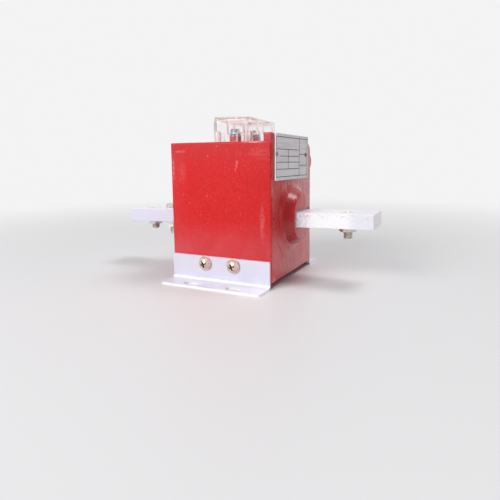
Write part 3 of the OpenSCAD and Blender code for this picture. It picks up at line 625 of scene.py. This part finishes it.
def bare_aluminium():
    """Rolled bar, drawn out along its length: white on the right, dull and violet on the left, with
    a painted highlight on its top face.
    """
    p = Paint("bare_aluminium")
    across = p.along(X)
    dull = p.mix(p.noise(9, 4), *ALUMINIUM["dull"])
    bright = p.mix(p.noise(6, 4), *ALUMINIUM["bright"])
    p.colour = p.mix(p.fade(across, 48 * MM, 56 * MM), dull, bright)
    p.lay(p.fade(across, 98 * MM, 110 * MM, 0.0, 0.8), ALUMINIUM["right end"])
    grain = p.noise(1.6, 3, 0.6, p.stretch((0.05, 1, 1)))
    p.lay(p.fade(grain, 0.5, 0.8, 0.0, 0.18), ALUMINIUM["grain"])

    blotch = p.noise(2.6, 5, 0.7)
    off_top_face = p.fade(p.facing(Z), 0.0, 1.0, 1.0, 0.35)
    near_top = p.product(p.fade(p.along(Z), 55 * MM, 58.5 * MM), off_top_face)
    p.lay(p.product(p.fade(blotch, 0.52, 0.62), near_top, 0.4), ALUMINIUM["smudge"])
    near_boss = p.band(across, 45 * MM, 66 * MM, 6 * MM)
    p.lay(p.product(p.fade(blotch, 0.44, 0.58), near_boss, 0.6), ALUMINIUM["smear"])

    sawn = p.noise(0.9, 2, 0.5, p.stretch((1, 0.1, 1)))
    end = p.mix(p.fade(sawn, 0.35, 0.7), *ALUMINIUM["sawn"])
    p.lay(p.most(p.facing(X), p.facing(X, -1)), end)
    # painted highlight: the top face lighter, most on the left
    top = p.product(p.facing(Z), p.fade(across, 40 * MM, 20 * MM, 0.3, 0.8))
    p.lay(top, ALUMINIUM["top"])
    p.lay(p.worn_edge(0.8), ALUMINIUM["edge"])
    p.set(Base_Color=p.colour, Metallic=0.0, Roughness=p.wander(5, 4, 0.30, 0.46))
    p.bump(grain, 0.02)
    return p.material


def zinc_sheet():
    """Bright zinc plate with a faint violet cast, painted light on its flat tops, a painted
    highlight along the fold, and pale sheared edges and slot walls brightened with painted light.
    """
    p = Paint("zinc_sheet", ZINC["pale"])
    height, outward, upward = p.along(Z), p.axis(p.normal, Y), p.axis(p.normal, Z)
    p.lay(p.fade(p.noise(22, 4), 0.35, 0.7), ZINC["grey"])
    p.lay(p.fade(height, 13 * MM, 5 * MM, 0.0, 0.5), ZINC["foot of leg"])
    # painted light: faces that look up drawn lighter
    p.lay(p.facing(Z), ZINC["flat"])
    # painted highlight along the bend where the leg meets the foot
    p.lay(p.fade(p.product(upward, p.math("ABSOLUTE", outward)), 0.3, 0.46), ZINC["fold"])
    p.lay(p.product(p.worn_edge(0.6), 0.6), ZINC["edge"])
    scratch = p.noise(2.5, 3, 0.6, p.stretch((0.08, 1, 1), (0, 14, 0)))
    p.lay(p.fade(scratch, 0.66, 0.76, 0.0, 0.2), ZINC["scratch"])
    # the sheet's cut edges and slot walls: pale cut metal, with painted light where shade falls in
    # the slots
    upright = p.fade(p.math("ABSOLUTE", upward), 0.5, 0.2)
    p.lay(p.product(upright, p.fade(height, 2.3 * MM, 2.0 * MM)), ZINC["sheared and lit"])
    p.set(Base_Color=p.colour, Metallic=0.25, Roughness=p.wander(8, 3, 0.34, 0.46))
    p.bump(p.noise(9, 2), 0.03)
    return p.material


def yellow_zinc():
    """Iridescent zinc plate, stained, with painted shade in dark brown in its recesses and corners.
    """
    p = Paint("yellow_zinc")
    p.colour = p.ramp(p.noise(4.2, 2, 0.5, distortion=0.8), IRIDESCENT)
    p.lay(p.fade(p.noise(1.0, 4), 0.5, 0.75, 0.0, 0.55), SCREW_STAIN)
    # painted shade in recesses and corners
    p.lay(p.hollow(3.0), SCREW_RECESS_SHADE)
    p.set(Base_Color=p.colour, Metallic=0.85, Roughness=p.wander(2, 3, 0.16, 0.3))
    p.bump(p.noise(1.2, 3), 0.01)
    return p.material


def clear_plastic():
    """Clear moulding gone faintly milky, tan where it is looked at along its walls."""
    p = Paint("clear_plastic", PLASTIC["clear"])
    p.lay(p.fade(p.noise(18, 3), 0.4, 0.7), PLASTIC["milky"])
    low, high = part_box("terminal_cover")
    inner, outer = COVER_CORNER
    corner = p.product(*[
        p.most(
            p.fade(p.along(index), low[index] + inner, low[index] + outer),
            p.fade(p.along(index), high[index] - inner, high[index] - outer),
        )
        for index in (X, Y)
    ])
    roof = p.fade(p.along(Z), *[high[Z] - down for down in COVER_ROOF])
    rim = p.most(p.worn_edge(2.2), p.product(p.worn_edge(3.4), p.most(roof, corner)))
    p.lay(rim, PLASTIC["rim"])
    p.set(
        Base_Color=p.colour,
        Roughness=p.fade(p.noise(6, 4), 0.35, 0.75, 0.03, 0.10),
        IOR=1.12,
        Transmission_Weight=p.fade(rim, 0.0, 0.65, 0.98, 0.05),
        Coat_Weight=0.25,
        Coat_Roughness=0.05,
    )
    depth = p.add("ShaderNodeVolumeAbsorption", rgba(PLASTIC["depth"]), PLASTIC_DENSITY)
    p.link(depth.outputs[0], p.output.inputs["Volume"])
    p.bump(p.noise(7, 2), 0.02)
    return p.material


def plate_ink(p, low, high):
    """Black that stands a little over the edges of the plate's upright lines."""
    middle = [(a + b) / 2 for a, b in zip(low, high)]
    depth, height = (p.math("SUBTRACT", p.along(index), middle[index]) for index in (Y, Z))
    across = p.math("SUBTRACT", depth, p.product(height, math.tan(PLATE_TURN)))
    half = INK_WIDTH / 2
    return p.most(*[
        p.product(
            p.band(across, line * MM - half, line * MM + half, INK_SOFT),
            p.band(height, foot * MM, top * MM, INK_SOFT),
        )
        for line, foot, top in UPRIGHT_LINES
    ])


def etched_plate():
    """Satin aluminium plate whose etched lines are filled with black."""
    p = Paint("etched_plate")
    low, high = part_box("rating_plate")
    brushed = p.noise(1.2, 3, 0.6, p.stretch((1, 0.03, 1)))
    p.colour = p.mix(p.fade(brushed, 0.35, 0.7), PLATE["light"], PLATE["dark"])
    p.lay(p.fade(p.noise(8, 4), 0.5, 0.75, 0.0, 0.35), PLATE["stain"])
    p.lay(p.fade(p.along(Y), low[Y] + 3.0 * MM, low[Y] + 1.8 * MM), PLATE["near edge"])
    p.lay(p.product(p.worn_edge(0.7), 0.7), PLATE["rim"])
    sunk = p.fade(p.along(X), high[X] - 0.03 * MM, high[X] - 0.09 * MM, kind="LINEAR")
    filled = p.product(p.most(sunk, plate_ink(p, low, high)), p.facing(X))
    p.lay(filled, PLATE["ink"])
    bare = p.math("SUBTRACT", 0.7, filled, clamp=True)
    p.set(Base_Color=p.colour, Metallic=bare, Roughness=0.42)
    p.bump(brushed, 0.006)
    return p.material


def plated_steel(name, light, dark, rough):
    """Plated steel with stains and paler edges."""
    p = Paint(name, light)
    p.lay(p.fade(p.noise(2.6, 5, 0.65), 0.4, 0.68), dark)
    p.lay(p.product(p.worn_edge(0.3), 0.5), STEEL_EDGE)
    p.set(Base_Color=p.colour, Metallic=0.95, Roughness=p.wander(1.6, 3, *rough))
    p.bump(p.noise(0.9, 3), 0.01)
    return p.material


def two_tone(name, light, dark, size_mm, metallic, rough):
    """A quiet material for the pieces that the casting hides."""
    p = Paint(name, light)
    p.lay(p.fade(p.noise(size_mm, 4), 0.35, 0.7), dark)
    p.set(
        Base_Color=p.colour,
        Metallic=metallic,
        Roughness=p.wander(size_mm * 0.6, 3, *rough),
    )
    p.bump(p.noise(size_mm * 0.4, 3), 0.02)
    return p.material


def pale_floor():
    """Floor that keeps the object's shadow and fades into the backdrop with distance."""
    p = Paint("pale_floor")
    p.set(Base_Color=p.mix(p.noise(300, 2), *FLOOR_TONES), Roughness=0.5)
    reach = p.add("ShaderNodeVectorMath", p.place, operation="LENGTH").outputs["Value"]
    far = p.product(p.fade(reach, *FLOOR_FADE), p.seen())
    white = p.add("ShaderNodeEmission", rgba(BACKDROP))
    blend = p.add("ShaderNodeMixShader", far, p.shader.outputs[0], white.outputs[0])
    p.link(blend.outputs[0], p.output.inputs["Surface"])
    return p.material


def dress(material, *names):
    """Gives CAD nodes one material."""
    for name in names:
        slots = NODES[name].data.materials
        slots.clear()
        slots.append(material)


def dress_nodes():
    """Dresses every CAD node, and puts threaded screws in place of the three in the bar."""
    dress(red_resin(), "resin_body")
    dress(bare_aluminium(), "primary_bar")
    dress(clear_plastic(), "terminal_cover")
    dress(etched_plate(), "rating_plate")
    dress(zinc_sheet(), "front_bracket", "rear_bracket")
    dress(yellow_zinc(), "front_bracket_screws", "rear_bracket_screws")
    steels = {name: plated_steel(name, *look) for name, (*look, _) in STEELS.items()}
    for name, (*_, pieces) in STEELS.items():
        dress(steels[name], *pieces)
    for name, (*look, pieces) in HIDDEN.items():
        dress(two_tone(name, *look), *pieces)
    for screw, nut, head in THREADED_SCREWS:
        add_threaded_screw(screw, nut, steels[head], steels["zinc_steel"])


def thread_radius(turn, height):
    """Radius of the thread at a share of a turn and a height above the screw's tip."""
    phase = (height / THREAD_PITCH - turn) % 1.0
    groove = min(max(abs(2 * phase - 1) * FLANK_STEEPNESS - CREST_FLAT, 0.0), 1.0)
    return min(THREAD_RADIUS - THREAD_DEPTH * groove, THREAD_RADIUS - TIP_CHAMFER + height)


def add_thread(bm, tip, axis, length, look):
    """Adds a closed threaded rod that stands on its tip."""
    across = axis.orthogonal().normalized()
    along = axis.cross(across)
    rows = math.ceil(length / (THREAD_PITCH / THREAD_ROWS)) + 1
    rings = []
    for row in range(rows):
        height = length * row / (rows - 1)
        ring = []
        for step in range(THREAD_SEGMENTS):
            turn = step / THREAD_SEGMENTS
            angle = 2 * math.pi * turn
            spoke = math.cos(angle) * across + math.sin(angle) * along
            ring.append(bm.verts.new(tip + height * axis + thread_radius(turn, height) * spoke))
        rings.append(ring)
    faces = [bm.faces.new(reversed(rings[0])), bm.faces.new(rings[-1])]
    for below, above in zip(rings, rings[1:]):
        for step in range(THREAD_SEGMENTS):
            after = (step + 1) % THREAD_SEGMENTS
            faces.append(bm.faces.new((below[step], below[after], above[after], above[step])))
    for face in faces:
        face.material_index = look


def screw_tip(points, axis):
    """Middle of the ring of points at a screw's lower end, and its level along the axis."""
    lowest = min(point.dot(axis) for point in points)
    ring = [point for point in points if point.dot(axis) < lowest + TIP_LEVEL]
    low, high = (Vector([pick(p[i] for p in ring) for i in (X, Y, Z)]) for pick in (min, max))
    return (low + high) / 2, lowest


def keep_above(bm, place, axis):
    """Cuts off what lies below a place along the axis, and closes the cut."""
    bmesh.ops.remove_doubles(bm, verts=bm.verts, dist=WELD)
    bmesh.ops.bisect_plane(
        bm,
        geom=[*bm.verts, *bm.edges, *bm.faces],
        dist=WELD,
        plane_co=place,
        plane_no=axis,
        clear_inner=True,
    )
    bmesh.ops.holes_fill(bm, edges=[edge for edge in bm.edges if edge.is_boundary])


def add_threaded_screw(node, nut, head_look, tail_look):
    """Stands for a bar screw: its head as in the solid, and a real thread below its nut."""
    axis = Vector((-math.sin(BAR_TILT), 0, math.cos(BAR_TILT)))
    tip, lowest = screw_tip([vertex.co for vertex in NODES[node].data.vertices], axis)
    nut_foot = min(vertex.co.dot(axis) for vertex in NODES[nut].data.vertices)
    length = nut_foot - lowest + THREAD_IN_NUT

    bm = bmesh.new()
    bm.from_mesh(NODES[node].data)
    keep_above(bm, tip + length * axis, axis)
    for face in bm.faces:
        face.material_index = 0
    add_thread(bm, tip, axis, length, 1)
    bmesh.ops.recalc_face_normals(bm, faces=bm.faces)
    mesh = bpy.data.meshes.new(node + "_threaded")
    bm.to_mesh(mesh)
    bm.free()
    mesh.materials.append(head_look)
    mesh.materials.append(tail_look)
    for polygon in mesh.polygons:
        polygon.use_smooth = True
    mesh.set_sharp_from_angle(angle=SHARP)
    screw = bpy.data.objects.new(node + "_threaded", mesh)
    bpy.context.scene.collection.objects.link(screw)
    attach(screw, "root")
    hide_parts(node)


def add_floor():
    """A level sheet under the object."""
    corners = [
        (FLOOR_REACH * x, FLOOR_REACH * y, 0) for x, y in ((-1, -1), (1, -1), (1, 1), (-1, 1))
    ]
    mesh = bpy.data.meshes.new("floor")
    mesh.from_pydata(corners, [], [(0, 1, 2, 3)])
    floor = bpy.data.objects.new("floor", mesh)
    bpy.context.scene.collection.objects.link(floor)
    floor.data.materials.append(pale_floor())


def add_lights():
    """The soft lights, each turned to face the object."""
    for name, place, width, watts in LIGHTS:
        light = bpy.data.lights.new(name, "AREA")
        light.shape = "RECTANGLE"
        light.size = width
        light.size_y = width
        light.energy = watts
        lamp = bpy.data.objects.new(name, light)
        bpy.context.scene.collection.objects.link(lamp)
        lamp.location = place
        lamp.rotation_euler = (LIT_POINT - place).to_track_quat("-Z", "Y").to_euler()


def add_world():
    """White to the camera and to reflections, and a gentler fill for everything else."""
    world = bpy.data.worlds.new("studio")
    bpy.context.scene.world = world
    world.use_nodes = True
    sky = Graph(world.node_tree)
    strength = sky.fade(sky.seen(), 0.0, 1.0, WORLD_FILL, WORLD_SEEN, kind="LINEAR")
    background = sky.add("ShaderNodeBackground", rgba(BACKDROP), strength)
    sky.add("ShaderNodeOutputWorld", background.outputs[0])


def add_camera():
    """The camera, its axes turned by yaw, pitch and roll."""
    flat = Vector((math.cos(CAMERA_YAW), math.sin(CAMERA_YAW), 0))
    ahead = Vector((
        -math.sin(CAMERA_YAW) * math.cos(CAMERA_PITCH),
        math.cos(CAMERA_YAW) * math.cos(CAMERA_PITCH),
        -math.sin(CAMERA_PITCH),
    ))
    over = flat.cross(ahead)
    right = math.cos(CAMERA_ROLL) * flat + math.sin(CAMERA_ROLL) * over
    up = right.cross(ahead)
    data = bpy.data.cameras.new("camera")
    data.lens = CAMERA_LENS
    data.sensor_width = CAMERA_SENSOR
    data.shift_x, data.shift_y = CAMERA_SHIFT
    data.clip_start = CAMERA_CLIP
    camera = bpy.data.objects.new("camera", data)
    bpy.context.scene.collection.objects.link(camera)
    turn = Matrix((right, up, -ahead)).transposed().to_4x4()
    camera.matrix_world = Matrix.Translation(CAMERA_PLACE) @ turn
    bpy.context.scene.camera = camera


def set_view():
    bpy.context.scene.view_settings.view_transform = "Standard"


add_camera()
add_world()
add_lights()
add_floor()
dress_nodes()
set_view()
